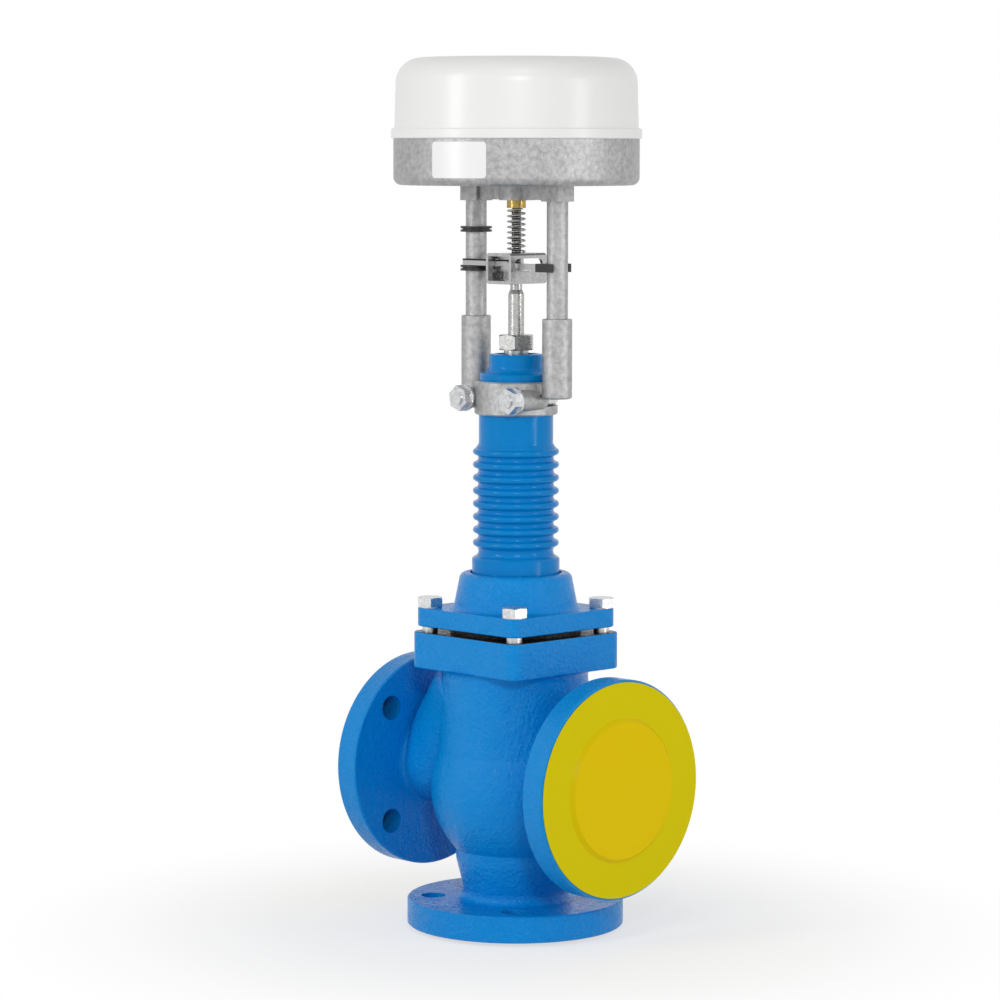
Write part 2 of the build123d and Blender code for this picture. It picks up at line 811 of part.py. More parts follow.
with BuildPart() as clamp_nuts:
    for side in (-1, 1):
        with BuildSketch(Plane(origin=(side * lug_at, -lug_end, u_bolt_z), z_dir=(0, -1, 0))):
            Circle(clamp_washer_r)
            Circle(u_bolt_r, mode=Mode.SUBTRACT)
        extrude(amount=clamp_washer_t)
        nut_seat = Plane(origin=(side * lug_at, -lug_end - clamp_washer_t, u_bolt_z), z_dir=(0, -1, 0))
        with BuildSketch(nut_seat):
            RegularPolygon(clamp_nut_hex / 2, 6, major_radius=False, rotation=10)
            Circle(u_bolt_r, mode=Mode.SUBTRACT)
        extrude(amount=clamp_nut_h)
save(clamp_nuts.part, "clamp_nuts")

# Two columns
column_low = sleeve_low + 4
column_top = base_low - 1
with BuildPart() as columns:
    with BuildSketch(Plane.XY.offset(column_low)):
        with Locations((-column_at, 0), (column_at, 0)):
            Circle(column_r)
    extrude(amount=column_top - column_low)
save(columns.part, "columns")

# Coupling bracket: a rectangular frame open along Y
bracket_mid = (bracket_top + bracket_low) / 2
with BuildPart() as bracket:
    with BuildSketch(Plane.XZ.offset(-bracket_y)):
        with Locations((0, bracket_mid)):
            RectangleRounded(2 * bracket_x, bracket_h, 3)
            RectangleRounded(2 * (bracket_x - bracket_wall), bracket_h - 2 * bracket_wall, 1)
    extrude(amount=2 * bracket_y)
    with BuildSketch(Plane.XZ.offset(-bracket_y)):
        with Locations((0, bracket_mid)):
            RectangleRounded(2 * (bracket_x - bracket_wall), bracket_h - 2 * bracket_wall, 1)
    extrude(amount=2 * bracket_y, mode=Mode.SUBTRACT)
    with BuildSketch(Plane.XY.offset(bracket_low)):
        Circle(stem_end_r)
    extrude(amount=bracket_wall + 1, mode=Mode.SUBTRACT)
    with BuildSketch(Plane.XY.offset(bracket_top)):
        Circle(spindle_r)
    extrude(amount=-bracket_wall - 1, mode=Mode.SUBTRACT)
    with BuildSketch(Plane.YZ.offset(-bracket_x)):
        with Locations((-arm_y - arm_t / 2 + 1, (arm_low + arm_top) / 2)):
            Rectangle(arm_t + 2 + 0.4, arm_top - arm_low + 0.4)
    extrude(amount=bracket_wall + 1, mode=Mode.SUBTRACT)
    with BuildSketch(Plane.YZ.offset(bracket_x)):
        with Locations((0, slot_z)):
            SlotOverall(slot_length, slot_height)
    extrude(amount=-bracket_wall - 1, mode=Mode.SUBTRACT)
save(bracket.part, "coupling_bracket")

# Cranked guide bar and the fork that keep the stem from turning
bar_middle = -arm_y - arm_t / 2
with BuildPart() as guide_arm:
    for left, right, low, high in (
        (-arm_end, 2, arm_low, arm_top),
        (-2, fork_left, fork_low + 1.4, fork_top - 0.3),
        (-2, 2, fork_low + 1.4, arm_top),
    ):
        with BuildSketch(Plane.XY.offset(low)):
            with Locations(((left + right) / 2, bar_middle)):
                Rectangle(right - left, arm_t)
        extrude(amount=high - low)
    with BuildSketch(Plane.XY.offset(fork_low + 1.4)):
        with Locations((0, -2)):
            Rectangle(13, 2 * arm_y - 0.8)
        Circle(spindle_r, mode=Mode.SUBTRACT)
    extrude(amount=2.4)
save(guide_arm.part, "guide_arm")

with BuildPart() as guide_fork:
    with BuildSketch(Plane.XY.offset(fork_low)):
        with Locations(((fork_left + column_at - column_r - 0.4) / 2, 0)):
            Rectangle(column_at - column_r - 0.4 - fork_left, 2 * (arm_y + arm_t))
        for side in (-1, 1):
            with Locations(((fork_left + fork_right) / 2, side * (arm_y + arm_t / 2))):
                Rectangle(fork_right - fork_left, arm_t)
    extrude(amount=fork_top - fork_low)
    fork_tips = guide_fork.edges().filter_by(Axis.Z).filter_by_position(Axis.X, fork_right - 0.1, fork_right + 0.1)
    fillet(fork_tips, 1.2)
save(guide_fork.part, "guide_fork")

# Stem nut inside the bracket
with BuildPart() as coupling_nuts:
    with BuildSketch(Plane.XY.offset(bracket_low + bracket_wall)):
        RegularPolygon(7.5, 6, major_radius=False)
        Circle(stem_end_r, mode=Mode.SUBTRACT)
    extrude(amount=6.5)
save(coupling_nuts.part, "coupling_nut")

# Stroke marker rings on the left column
for ring_name, low in (("low_marker_ring", low_ring_z), ("high_marker_ring", high_ring_z)):
    with BuildPart() as marker:
        with BuildSketch(Plane.XY.offset(low)):
            with Locations((-column_at, 0)):
                Circle(ring_r)
                Circle(column_r + 0.05, mode=Mode.SUBTRACT)
        extrude(amount=ring_h)
        with BuildSketch(Plane.XY.offset(low + ring_h / 2 - 0.5)):
            with Locations((-column_at, 0)):
                Circle(ring_r)
                Circle(ring_r - 1.5, mode=Mode.SUBTRACT)
        extrude(amount=1, mode=Mode.SUBTRACT)
    save(marker.part, ring_name)

# Spindle, its bush and the spring
with BuildPart() as spindle:
    with BuildSketch(Plane.XY.offset(spindle_low)):
        Circle(spindle_r)
    extrude(amount=spindle_top - spindle_low)
    with BuildSketch(Plane.XY.offset(spindle_top - 8)):
        Circle(9)
    extrude(amount=3)
save(spindle.part, "spindle")

with BuildPart() as spindle_bush:
    with BuildSketch(Plane.XY.offset(bush_z)):
        Circle(bush_r)
        Circle(spindle_r + 0.06, mode=Mode.SUBTRACT)
    extrude(amount=base_low + base_wall - bush_z)
save(spindle_bush.part, "spindle_bush")

spring_low = bracket_top + spring_wire
spring_h = bush_z - bracket_top - 2 * spring_wire
with BuildPart() as spring:
    with BuildLine():
        Helix(pitch=spring_h / spring_turns, height=spring_h, radius=spring_r, center=(0, 0, spring_low))
    with BuildSketch(Plane(origin=(spring_r, 0, spring_low), z_dir=(0, 1, 0))):
        RegularPolygon(spring_wire, 8)
    sweep(is_frenet=True)
save(spring.part, "return_spring")

# Actuator base casting with column bosses
lip_low = cover_rim_top - 2.5
with BuildPart() as actuator_base:
    with BuildSketch(Plane.XZ):
        with BuildLine():
            Line((0, base_low), (base_r - base_edge, base_low))
            ThreePointArc(
                (base_r - base_edge, base_low),
                (base_r - base_edge * (1 - math.sqrt(0.5)), base_low + base_edge * (1 - math.sqrt(0.5))),
                (base_r, base_low + base_edge),
            )
            Polyline(
                (base_r, base_low + base_edge),
                (base_r, base_top),
                (lip_r, base_top),
                (lip_r, lip_low),
                (base_r - base_wall, lip_low),
                (base_r - base_wall, base_low + base_wall),
                (0, base_low + base_wall),
                (0, base_low),
            )
        make_face()
    revolve(axis=Axis.Z)
    with BuildSketch(Plane.XY.offset(boss_low)):
        with Locations((-column_at, 0), (column_at, 0)):
            RectangleRounded(boss_side, boss_side, boss_corner)
    extrude(amount=boss_h)
    with BuildSketch(Plane.XY.offset(boss_low + 0.6)):
        Circle(bush_boss_r)
    extrude(amount=boss_h - 0.6)
    with BuildSketch(Plane.XY.offset(boss_low + 1)):
        with Locations((-column_at / 2 - 4, 0), (column_at / 2 + 4, 0)):
            Rectangle(column_at - 8, boss_side - 7)
    extrude(amount=boss_h - 1)
    with BuildSketch(Plane.XY.offset(boss_low)):
        with Locations((-column_at, 0), (column_at, 0)):
            Circle(column_r)
    extrude(amount=column_top - boss_low, mode=Mode.SUBTRACT)
    with BuildSketch(Plane.XY.offset(boss_low)):
        Circle(bush_r)
    extrude(amount=base_low + base_wall - boss_low, mode=Mode.SUBTRACT)
    with BuildSketch(Plane.XY.offset(base_low + base_wall)):
        with PolarLocations(post_at, 3, start_angle=post_angle):
            Circle(post_r)
    extrude(amount=deck_low - base_low - base_wall)
    for angle in gland_angles:
        turn = math.radians(angle)
        wall_plane = Plane(
            origin=((base_r - base_wall - 3) * math.cos(turn), (base_r - base_wall - 3) * math.sin(turn), gland_z),
            z_dir=(math.cos(turn), math.sin(turn), 0),
        )
        with BuildSketch(wall_plane):
            Circle(gland_thread_r)
        extrude(amount=base_wall + 8, mode=Mode.SUBTRACT)
save(actuator_base.part, "actuator_base")

# Cover
with BuildPart() as cover:
    with BuildSketch(Plane.XZ):
        with BuildLine():
            half = math.sqrt(0.5)
            Polyline(
                (lip_r + 0.3, base_top + 0.1),
                (cover_rim_r - 0.8, base_top + 0.1),
                (cover_rim_r, base_top + 1),
                (cover_rim_r, cover_rim_top - 1),
                (cover_rim_r - 1, cover_rim_top),
                (cover_r + 0.3, cover_rim_top),
                (cover_r - 0.6, cover_top - cover_edge),
            )
            ThreePointArc(
                (cover_r - 0.6, cover_top - cover_edge),
                (cover_r - 0.6 - cover_edge * (1 - half), cover_top - cover_edge * (1 - half)),
                (cover_r - 0.6 - cover_edge, cover_top),
            )
            inner_r = cover_r - 0.6 - cover_wall
            inner_edge = cover_edge - cover_wall
            inner_top = cover_top - cover_wall
            Polyline(
                (cover_r - 0.6 - cover_edge, cover_top),
                (0, cover_top),
                (0, inner_top),
                (inner_r - inner_edge, inner_top),
            )
            ThreePointArc(
                (inner_r - inner_edge, inner_top),
                (inner_r - inner_edge * (1 - half), inner_top - inner_edge * (1 - half)),
                (inner_r, inner_top - inner_edge),
            )
            Polyline(
                (inner_r, inner_top - inner_edge),
                (inner_r, cover_rim_top - 2),
                (lip_r + 0.3, cover_rim_top - 2),
                (lip_r + 0.3, base_top + 0.1),
            )
        make_face()
    revolve(axis=Axis.Z)
save(cover.part, "cover")

# Deck plate over the gears
with BuildPart() as deck:
    with BuildSketch(Plane.XY.offset(deck_low)):
        Circle(deck_r)
        Circle(10, mode=Mode.SUBTRACT)
        with Locations(idler_at, pinion_at):
            Circle(shaft_r + 0.05, mode=Mode.SUBTRACT)
    extrude(amount=deck_t)
save(deck.part, "gear_deck")

# Gears
for gear_name, teeth, start, at, bore in gears:
    with BuildPart() as gear:
        with BuildSketch(Plane.XY.offset(gear_low)):
            with Locations(at):
                Polygon(*gear_outline(teeth, start), align=None)
                Circle(bore, mode=Mode.SUBTRACT)
        extrude(amount=gear_h)
        if gear_name == "drive_gear":
            with BuildSketch(Plane.XY.offset(gear_low - 2.5)):
                Circle(9)
                Circle(bore, mode=Mode.SUBTRACT)
            extrude(amount=gear_h + 6)
        if gear_name == "motor_pinion":
            with BuildSketch(Plane.XY.offset(gear_low)):
                with Locations(at):
                    Circle(shaft_r)
            extrude(amount=deck_low + deck_t + 10 - gear_low)
    save(gear.part, gear_name)

with BuildPart() as idler_pin:
    with BuildSketch(Plane.XY.offset(base_low + base_wall)):
        with Locations(idler_at):
            Circle(shaft_r)
    extrude(amount=deck_low - base_low - base_wall)
save(idler_pin.part, "idler_pin")

# Motor on the deck
with BuildPart() as motor:
    with BuildSketch(Plane.XY.offset(deck_low + deck_t)):
        with Locations(pinion_at):
            Circle(motor_r)
    extrude(amount=motor_h)
    with BuildSketch(Plane.XY.offset(deck_low + deck_t)):
        with Locations(pinion_at):
            Circle(shaft_r + 0.05)
    extrude(amount=12, mode=Mode.SUBTRACT)
save(motor.part, "motor")

# Circuit board, terminals and limit switches
with BuildPart() as board_posts:
    with BuildSketch(Plane.XY.offset(deck_low + deck_t)):
        with Locations(*board_post_at):
            Circle(3)
    extrude(amount=board_gap)
save(board_posts.part, "board_posts")

with BuildPart() as board:
    with BuildSketch(Plane.XY.offset(deck_low + deck_t + board_gap)):
        with Locations(board_at):
            Rectangle(board_x, board_y)
    extrude(amount=1.6)
save(board.part, "circuit_board")

with BuildPart() as terminals:
    with BuildSketch(Plane.XY.offset(deck_low + deck_t + board_gap + 1.6)):
        with Locations((board_at[0], board_at[1] - 8)):
            Rectangle(60, 10)
    extrude(amount=11)
    with BuildSketch(Plane.XY.offset(deck_low + deck_t + board_gap + 12.6)):
        with Locations((board_at[0], board_at[1] - 8)):
            with GridLocations(7, 1, 8, 1):
                Circle(2)
    extrude(amount=-4, mode=Mode.SUBTRACT)
save(terminals.part, "terminal_block")

with BuildPart() as switches:
    with BuildSketch(Plane.XY.offset(deck_low + deck_t)):
        with Locations((24, -6), (24, 20)):
            Rectangle(12, 24)
    extrude(amount=12)
save(switches.part, "limit_switches")

# Cable gland and blanking plug on the hidden side
for fitting_name, angle in zip(("cable_gland", "blanking_plug"), gland_angles):
    turn = math.radians(angle)
    wall_plane = Plane(
        origin=((base_r - base_wall - 2) * math.cos(turn), (base_r - base_wall - 2) * math.sin(turn), gland_z),
        z_dir=(math.cos(turn), math.sin(turn), 0),
    )
    with BuildPart() as fitting:
        with BuildSketch(wall_plane):
            Circle(gland_thread_r)
        extrude(amount=base_wall + 3)
        with BuildSketch(wall_plane.offset(base_wall + 3)):
            RegularPolygon(11, 6, major_radius=False)
        extrude(amount=5)
        if fitting_name == "cable_gland":
            with BuildSketch(wall_plane.offset(base_wall + 8)):
                Circle(10)
            extrude(amount=9)
            with BuildSketch(wall_plane):
                Circle(cable_r)
            extrude(amount=base_wall + 17, mode=Mode.SUBTRACT)
    save(fitting.part, fitting_name)

# Push-in port caps
for cap_name, side in (("left_port_cap", -1), ("right_port_cap", 1)):
    out = Plane(origin=(side * face_to_centre, 0, port_height), x_dir=(0, 1, 0), z_dir=(side, 0, 0))
    with BuildPart() as cap:
        with BuildSketch(Plane(origin=out.origin, x_dir=(0, 1, 0), z_dir=(0, 0, -side))):
            Polygon(
                (0, cap_gap),
                (raised_face_r + cap_gap, cap_gap),
                (raised_face_r + cap_slope, cap_gap - raised_face_t),
                (cap_r, cap_gap - raised_face_t),
                (cap_r, cap_gap - raised_face_t + cap_t),
                (raised_face_r + cap_slope + cap_t / 3, cap_gap - raised_face_t + cap_t),
                (raised_face_r + cap_t / 3, cap_gap + cap_t),
                (0, cap_gap + cap_t),
                align=None,
            )
        revolve(axis=Axis(out.origin, (side, 0, 0)))
        with BuildSketch(out):
            Circle(cap_plug_r)
            Circle(cap_plug_r - 1.2, mode=Mode.SUBTRACT)
        extrude(amount=-cap_plug_depth)
        with BuildSketch(out):
            Circle(cap_plug_r)
            Circle(cap_plug_r - 1.2, mode=Mode.SUBTRACT)
        extrude(amount=cap_gap)
    save(cap.part, cap_name)
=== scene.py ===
import math

import bpy
from mathutils import Euler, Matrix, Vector


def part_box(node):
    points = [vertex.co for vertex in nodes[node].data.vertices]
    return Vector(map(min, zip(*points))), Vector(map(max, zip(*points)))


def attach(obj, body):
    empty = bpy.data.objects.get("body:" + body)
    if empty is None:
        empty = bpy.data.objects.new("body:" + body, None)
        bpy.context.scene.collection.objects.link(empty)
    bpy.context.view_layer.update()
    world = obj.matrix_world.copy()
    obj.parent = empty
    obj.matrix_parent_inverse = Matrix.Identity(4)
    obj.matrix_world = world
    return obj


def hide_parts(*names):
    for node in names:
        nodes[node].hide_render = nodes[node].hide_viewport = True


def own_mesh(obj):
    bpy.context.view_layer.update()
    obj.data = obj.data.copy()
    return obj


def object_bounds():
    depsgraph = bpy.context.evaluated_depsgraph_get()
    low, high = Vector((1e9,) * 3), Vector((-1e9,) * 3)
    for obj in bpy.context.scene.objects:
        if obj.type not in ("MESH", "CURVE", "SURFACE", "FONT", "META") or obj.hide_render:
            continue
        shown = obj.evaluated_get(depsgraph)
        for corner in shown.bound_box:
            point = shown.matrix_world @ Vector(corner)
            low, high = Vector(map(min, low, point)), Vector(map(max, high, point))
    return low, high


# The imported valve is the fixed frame: metres, Z up, X along the side ports.
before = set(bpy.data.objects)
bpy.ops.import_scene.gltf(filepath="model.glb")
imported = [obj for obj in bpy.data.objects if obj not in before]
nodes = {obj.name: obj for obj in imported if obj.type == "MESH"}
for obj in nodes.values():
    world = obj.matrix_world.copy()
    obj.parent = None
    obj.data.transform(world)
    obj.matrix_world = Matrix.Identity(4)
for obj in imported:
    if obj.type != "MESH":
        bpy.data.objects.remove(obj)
cad_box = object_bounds()
centre = sum((Vector(corner) for corner in cad_box), Vector()) / 2

# Camera, fitted to the flanges and heights of the photograph
CAMERA_AZIMUTH = math.radians(45.96)
CAMERA_DISTANCE = 2.850
CAMERA_HEIGHT = 0.5956
CAMERA_PITCH = math.radians(5.38)
CAMERA_YAW = math.radians(0.25)
CAMERA_ROLL = math.radians(-0.08)
FOCAL_PIXELS = 3775.6
IMAGE_PIXELS = 1000
SENSOR = 36

# Places and sizes that the materials follow, in metres
PORT_HEIGHT = 0.1185
FACE_RADIUS = 0.051
FACE_BLEND_INSIDE = 0.001
FACE_BLEND_OUTSIDE = 0.0045
JOINT_GAP = 0.0041
JOINT_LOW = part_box("valve_body")[1].z
JOINT_HIGH = JOINT_LOW + JOINT_GAP
ARM_STRIP = 0.0010
BAND_MARGIN = 0.0003
SPINDLE_PITCH = 0.0015

# Colours, linear
BLUE = (0.0010, 0.272, 0.73)
WHITE = (0.89, 0.89, 0.88)
LABEL_WHITE = (0.92, 0.92, 0.92)
YELLOW = (0.72, 0.61, 0.002)
AMBER = (0.82, 0.59, 0.002)
CAST_GREY = (0.40, 0.40, 0.40)
STEEL = (0.44, 0.44, 0.43)
BRIGHT = (0.46, 0.46, 0.46)
ZINC = (0.62, 0.63, 0.64)
# Brass darkened as painted shade, for bushes that sit partly in shadow
BRASS_IN_PAINTED_SHADE = (0.42, 0.30, 0.09)
BLACK = (0.012, 0.012, 0.013)
GRAPHITE = (0.02, 0.02, 0.02)
BOARD = (0.01, 0.12, 0.05)
TERMINAL = (0.12, 0.2, 0.12)
FLOOR_GREY = (0.9, 0.9, 0.9)
# Share of BLUE kept on the smooth paint, a painted shade: the paint itself is the same as the
# cast paint
SMOOTH_PAINTED_SHADE = 0.84

# The part of a texture's values over which colour and gloss change
TEXTURE_LOW = 0.3
TEXTURE_HIGH = 0.7

# Length of one wave of the wave texture at a scale of 1
WAVE_LENGTH = math.pi / 10


def shader(name, colour, roughness, metallic=0.0, specular=0.5):
    """A new material with its node tree and its surface."""
    material = bpy.data.materials.new(name)
    material.use_nodes = True
    tree = material.node_tree
    surface = tree.nodes["Principled BSDF"]
    surface.inputs["Base Color"].default_value = (*colour, 1)
    surface.inputs["Roughness"].default_value = roughness
    surface.inputs["Metallic"].default_value = metallic
    surface.inputs["Specular IOR Level"].default_value = specular
    return material, tree, surface


def scaled(colour, share):
    return tuple(channel * share for channel in colour)


def position(tree):
    """The point that is shaded, in the row frame's metres."""
    return tree.nodes.new("ShaderNodeTexCoord").outputs["Object"]


def coordinates(tree):
    """The same point as separate X, Y and Z."""
    parts = tree.nodes.new("ShaderNodeSeparateXYZ")
    tree.links.new(position(tree), parts.inputs["Vector"])
    return parts.outputs


def length(tree, vector):
    node = tree.nodes.new("ShaderNodeVectorMath")
    node.operation = "LENGTH"
    tree.links.new(vector, node.inputs[0])
    return node.outputs["Value"]


def combined(tree, operation, first, second):
    """Two values joined by an operation of the Math node."""
    node = tree.nodes.new("ShaderNodeMath")
    node.operation = operation
    tree.links.new(first, node.inputs[0])
    tree.links.new(second, node.inputs[1])
    return node.outputs["Value"]


def map_range(tree, value, from_low=0, from_high=1, to_low=0, to_high=1, ease="LINEAR"):
    """A value carried over from one range to another."""
    node = tree.nodes.new("ShaderNodeMapRange")
    node.interpolation_type = ease
    node.inputs["From Min"].default_value = from_low
    node.inputs["From Max"].default_value = from_high
    node.inputs["To Min"].default_value = to_low
    node.inputs["To Max"].default_value = to_high
    tree.links.new(value, node.inputs["Value"])
    return node.outputs["Result"]


def height_band(tree, low, high):
    """1 between two heights and a small margin beyond them, 0 elsewhere."""
    band = tree.nodes.new("ShaderNodeMath")
    band.operation = "COMPARE"
    band.inputs[1].default_value = (low + high) / 2
    band.inputs[2].default_value = (high - low) / 2 + BAND_MARGIN
    tree.links.new(coordinates(tree)["Z"], band.inputs[0])
    return band.outputs["Value"]


def noise(tree, scale, detail=3.0, rough=0.5):
    texture = tree.nodes.new("ShaderNodeTexNoise")
    texture.inputs["Scale"].default_value = scale
    texture.inputs["Detail"].default_value = detail
    texture.inputs["Roughness"].default_value = rough
    tree.links.new(position(tree), texture.inputs["Vector"])
    return texture.outputs["Fac"]


def add_bump(tree, surface, texture, height, strength=1.0):
    bump = tree.nodes.new("ShaderNodeBump")
    bump.inputs["Distance"].default_value = height
    bump.inputs["Strength"].default_value = strength
    tree.links.new(texture, bump.inputs["Height"])
    tree.links.new(bump.outputs["Normal"], surface.inputs["Normal"])
    return bump


def noise_bump(tree, surface, scale, detail, height, strength, rough=0.5, over=None):
    """A bump of noise, laid over another bump where one is given."""
    bump = add_bump(tree, surface, noise(tree, scale, detail, rough), height, strength)
    if over:
        tree.links.new(over.outputs["Normal"], bump.inputs["Normal"])
    return bump


def mottle_and_painted_shade(tree, surface, texture, colour, dark, light):
    """Base colour that runs with a texture from a dark to a light share of one colour."""
    ramp = tree.nodes.new("ShaderNodeValToRGB")
    low, high = ramp.color_ramp.elements
    low.position = TEXTURE_LOW
    low.color = (*scaled(colour, dark), 1)
    high.position = TEXTURE_HIGH
    high.color = (*scaled(colour, light), 1)
    tree.links.new(texture, ramp.inputs["Fac"])
    tree.links.new(ramp.outputs["Color"], surface.inputs["Base Color"])


def blend_colours(tree, surface, share, first, second):
    """Base colour that is the first colour where share is 0 and the second where it is 1."""
    blend = tree.nodes.new("ShaderNodeMix")
    blend.data_type = "RGBA"
    blend.inputs["A"].default_value = (*first, 1)
    blend.inputs["B"].default_value = (*second, 1)
    tree.links.new(share, blend.inputs["Factor"])
    tree.links.new(blend.outputs["Result"], surface.inputs["Base Color"])


def vary_roughness(tree, surface, texture, low, high):
    """Roughness that runs with a texture between two values."""
    spread = map_range(tree, texture, TEXTURE_LOW, TEXTURE_HIGH, low, high)
    tree.links.new(spread, surface.inputs["Roughness"])


def cast_paint():
    """Thick glossy paint over a sand-cast surface, with painted shade in black at the
    gasket's joint.
    """
    material, tree, surface = shader("cast_paint", BLUE, roughness=0.2, specular=0.15)
    swell = noise_bump(
        tree, surface, scale=60, detail=2, height=0.003, strength=0.45, rough=0.6
    )
    noise_bump(
        tree, surface, scale=380, detail=3, height=0.0012, strength=1.0, rough=0.6, over=swell
    )
    vary_roughness(tree, surface, noise(tree, scale=150), low=0.14, high=0.3)
    # Painted shade: the faces in the gasket joint's gap are coloured black to stand in for
    # its shadow
    blend_colours(tree, surface, height_band(tree, JOINT_LOW, JOINT_HIGH), BLUE, BLACK)
    return material


def smooth_paint():
    """The same paint over a machined surface, its colour darkened as painted shade."""
    # Painted shade: the same blue, darkened for the neck and packing housing
    colour = scaled(BLUE, SMOOTH_PAINTED_SHADE)
    material, tree, surface = shader("smooth_paint", colour, roughness=0.14, specular=0.12)
    swell = noise_bump(
        tree, surface, scale=90, detail=2, height=0.0008, strength=0.3, rough=0.6
    )
    noise_bump(
        tree, surface, scale=700, detail=2, height=0.0002, strength=0.4, rough=0.6, over=swell
    )
    vary_roughness(tree, surface, noise(tree, scale=120), low=0.12, high=0.22)
    return material


def die_cast():
    """Bare die-cast aluminium with a mottled, pitted skin."""
    material, tree, surface = shader("die_cast", CAST_GREY, roughness=0.45, metallic=0.8)
    grain = noise(tree, scale=260, detail=6, rough=0.65)
    mottle_and_painted_shade(tree, surface, grain, CAST_GREY, dark=0.7, light=1.2)
    noise_bump(tree, surface, scale=600, detail=4, height=0.0005, strength=0.6, rough=0.7)
    return material


def plain_metal(name, colour, roughness):
    """Machined or plated metal with a faint cloudiness and uneven gloss."""
    material, tree, surface = shader(name, colour, roughness, metallic=1.0)
    clouds = noise(tree, scale=300, detail=4, rough=0.6)
    mottle_and_painted_shade(tree, surface, clouds, colour, dark=0.8, light=1.12)
    grain = noise(tree, scale=500)
    vary_roughness(tree, surface, grain, low=0.75 * roughness, high=1.4 * roughness)
    noise_bump(tree, surface, scale=900, detail=2, height=0.00015, strength=0.35)
    return material


def threaded_metal(name, colour, roughness, pitch):
    """Turned metal with the look of a thread cut round it: a bump, and dark bands painted as
    the shade in its grooves.
    """
    material, tree, surface = shader(name, colour, roughness, metallic=1.0)
    wave = tree.nodes.new("ShaderNodeTexWave")
    wave.bands_direction = "Z"
    wave.inputs["Scale"].default_value = WAVE_LENGTH / pitch
    tree.links.new(position(tree), wave.inputs["Vector"])
    # Painted shade: the colour darkens in bands where the thread's grooves would be shaded
    mottle_and_painted_shade(tree, surface, wave.outputs["Fac"], colour, dark=0.25, light=1.2)
    add_bump(tree, surface, wave.outputs["Fac"], height=0.0006)
    return material


def arm_metal():
    """Pressed steel arm with the black plastic strip along its top edge."""
    material, tree, surface = shader("arm_metal", BRIGHT, roughness=0.3, metallic=0.6)
    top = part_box("guide_arm")[1].z
    blend_colours(tree, surface, height_band(tree, top - ARM_STRIP, top), BRIGHT, BLACK)
    return material


def plastic(name, colour, roughness):
    """Moulded plastic with a faint ripple and uneven gloss."""
    material, tree, surface = shader(name, colour, roughness)
    gloss = noise(tree, scale=30, detail=1)
    vary_roughness(tree, surface, gloss, low=0.94 * roughness, high=1.06 * roughness)
    noise_bump(tree, surface, scale=25, detail=0, height=0.0002, strength=0.1)
    return material


def cap_plastic():
    """Thin plastic, deeper in colour where it lies on the flange's raised face."""
    material, tree, surface = shader("cap_plastic", YELLOW, roughness=0.3, specular=0.05)
    place = coordinates(tree)
    rise = tree.nodes.new("ShaderNodeMath")
    rise.operation = "SUBTRACT"
    rise.inputs[1].default_value = PORT_HEIGHT
    tree.links.new(place["Z"], rise.inputs[0])
    from_axis = tree.nodes.new("ShaderNodeCombineXYZ")
    tree.links.new(place["Y"], from_axis.inputs["X"])
    tree.links.new(rise.outputs["Value"], from_axis.inputs["Y"])
    share = map_range(
        tree,
        length(tree, from_axis.outputs["Vector"]),
        from_low=FACE_RADIUS - FACE_BLEND_INSIDE,
        from_high=FACE_RADIUS + FACE_BLEND_OUTSIDE,
    )
    blend_colours(tree, surface, share, AMBER, YELLOW)
    noise_bump(tree, surface, scale=60, detail=2, height=0.0005, strength=0.12)
    return material


cast_paint_m = cast_paint()
smooth_paint_m = smooth_paint()
die_cast_m = die_cast()
steel_m = plain_metal("steel", STEEL, roughness=0.28)
bright_m = plain_metal("bright_metal", BRIGHT, roughness=0.2)
zinc_m = plain_metal("zinc_plate", ZINC, roughness=0.3)
thread_m = threaded_metal("threaded_steel", STEEL, roughness=0.3, pitch=SPINDLE_PITCH)
arm_m = arm_metal()
# The brass colour here is darkened as painted shade
brass_m = plain_metal("brass", BRASS_IN_PAINTED_SHADE, roughness=0.3)
white_m = plastic("white_plastic", WHITE, roughness=0.32)
black_m = plastic("black_plastic", BLACK, roughness=0.45)
graphite_m = plastic("graphite", GRAPHITE, roughness=0.6)
board_m = plastic("board", BOARD, roughness=0.4)
terminal_m = plastic("terminal_plastic", TERMINAL, roughness=0.5)
cap_m = cap_plastic()
label_m = plastic("label_white", LABEL_WHITE, roughness=0.3)

finish = {
    cast_paint_m: ("valve_body", "bonnet"),
    smooth_paint_m: ("cooling_neck", "packing_housing"),
    die_cast_m: ("yoke_clamp", "columns", "actuator_base"),
    steel_m: (
        "lower_seat",
        "upper_seat",
        "plug",
        "stem",
        "gland_nut",
        "return_spring",
        "motor_pinion",
        "idler_pin",
        "motor",
    ),
    bright_m: ("coupling_bracket", "coupling_nut", "gear_deck"),
    zinc_m: ("bonnet_bolts", "u_bolt", "clamp_nuts"),
    thread_m: ("spindle",),
    arm_m: ("guide_arm",),
    brass_m: ("guide_bush", "spindle_bush", "drive_gear", "idler_gear", "board_posts"),
    white_m: ("cover",),
    black_m: (
        "guide_fork",
        "low_marker_ring",
        "high_marker_ring",
        "limit_switches",
        "cable_gland",
        "blanking_plug",
    ),
    graphite_m: ("bonnet_gasket", "packing_rings"),
    board_m: ("circuit_board",),
    terminal_m: ("terminal_block",),
    cap_m: ("left_port_cap", "right_port_cap"),
}
for material, names in finish.items():
    for name in names:
        nodes[name].data.materials.clear()
        nodes[name].data.materials.append(material)


def new_mesh(name, points, faces, material, body):
    mesh = bpy.data.meshes.new(name)
    mesh.from_pydata(points, [], faces)
    mesh.materials.append(material)
    for polygon in mesh.polygons:
        polygon.use_smooth = True
    thing = bpy.data.objects.new(name, mesh)
    bpy.context.scene.collection.objects.link(thing)
    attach(thing, body)
    return thing


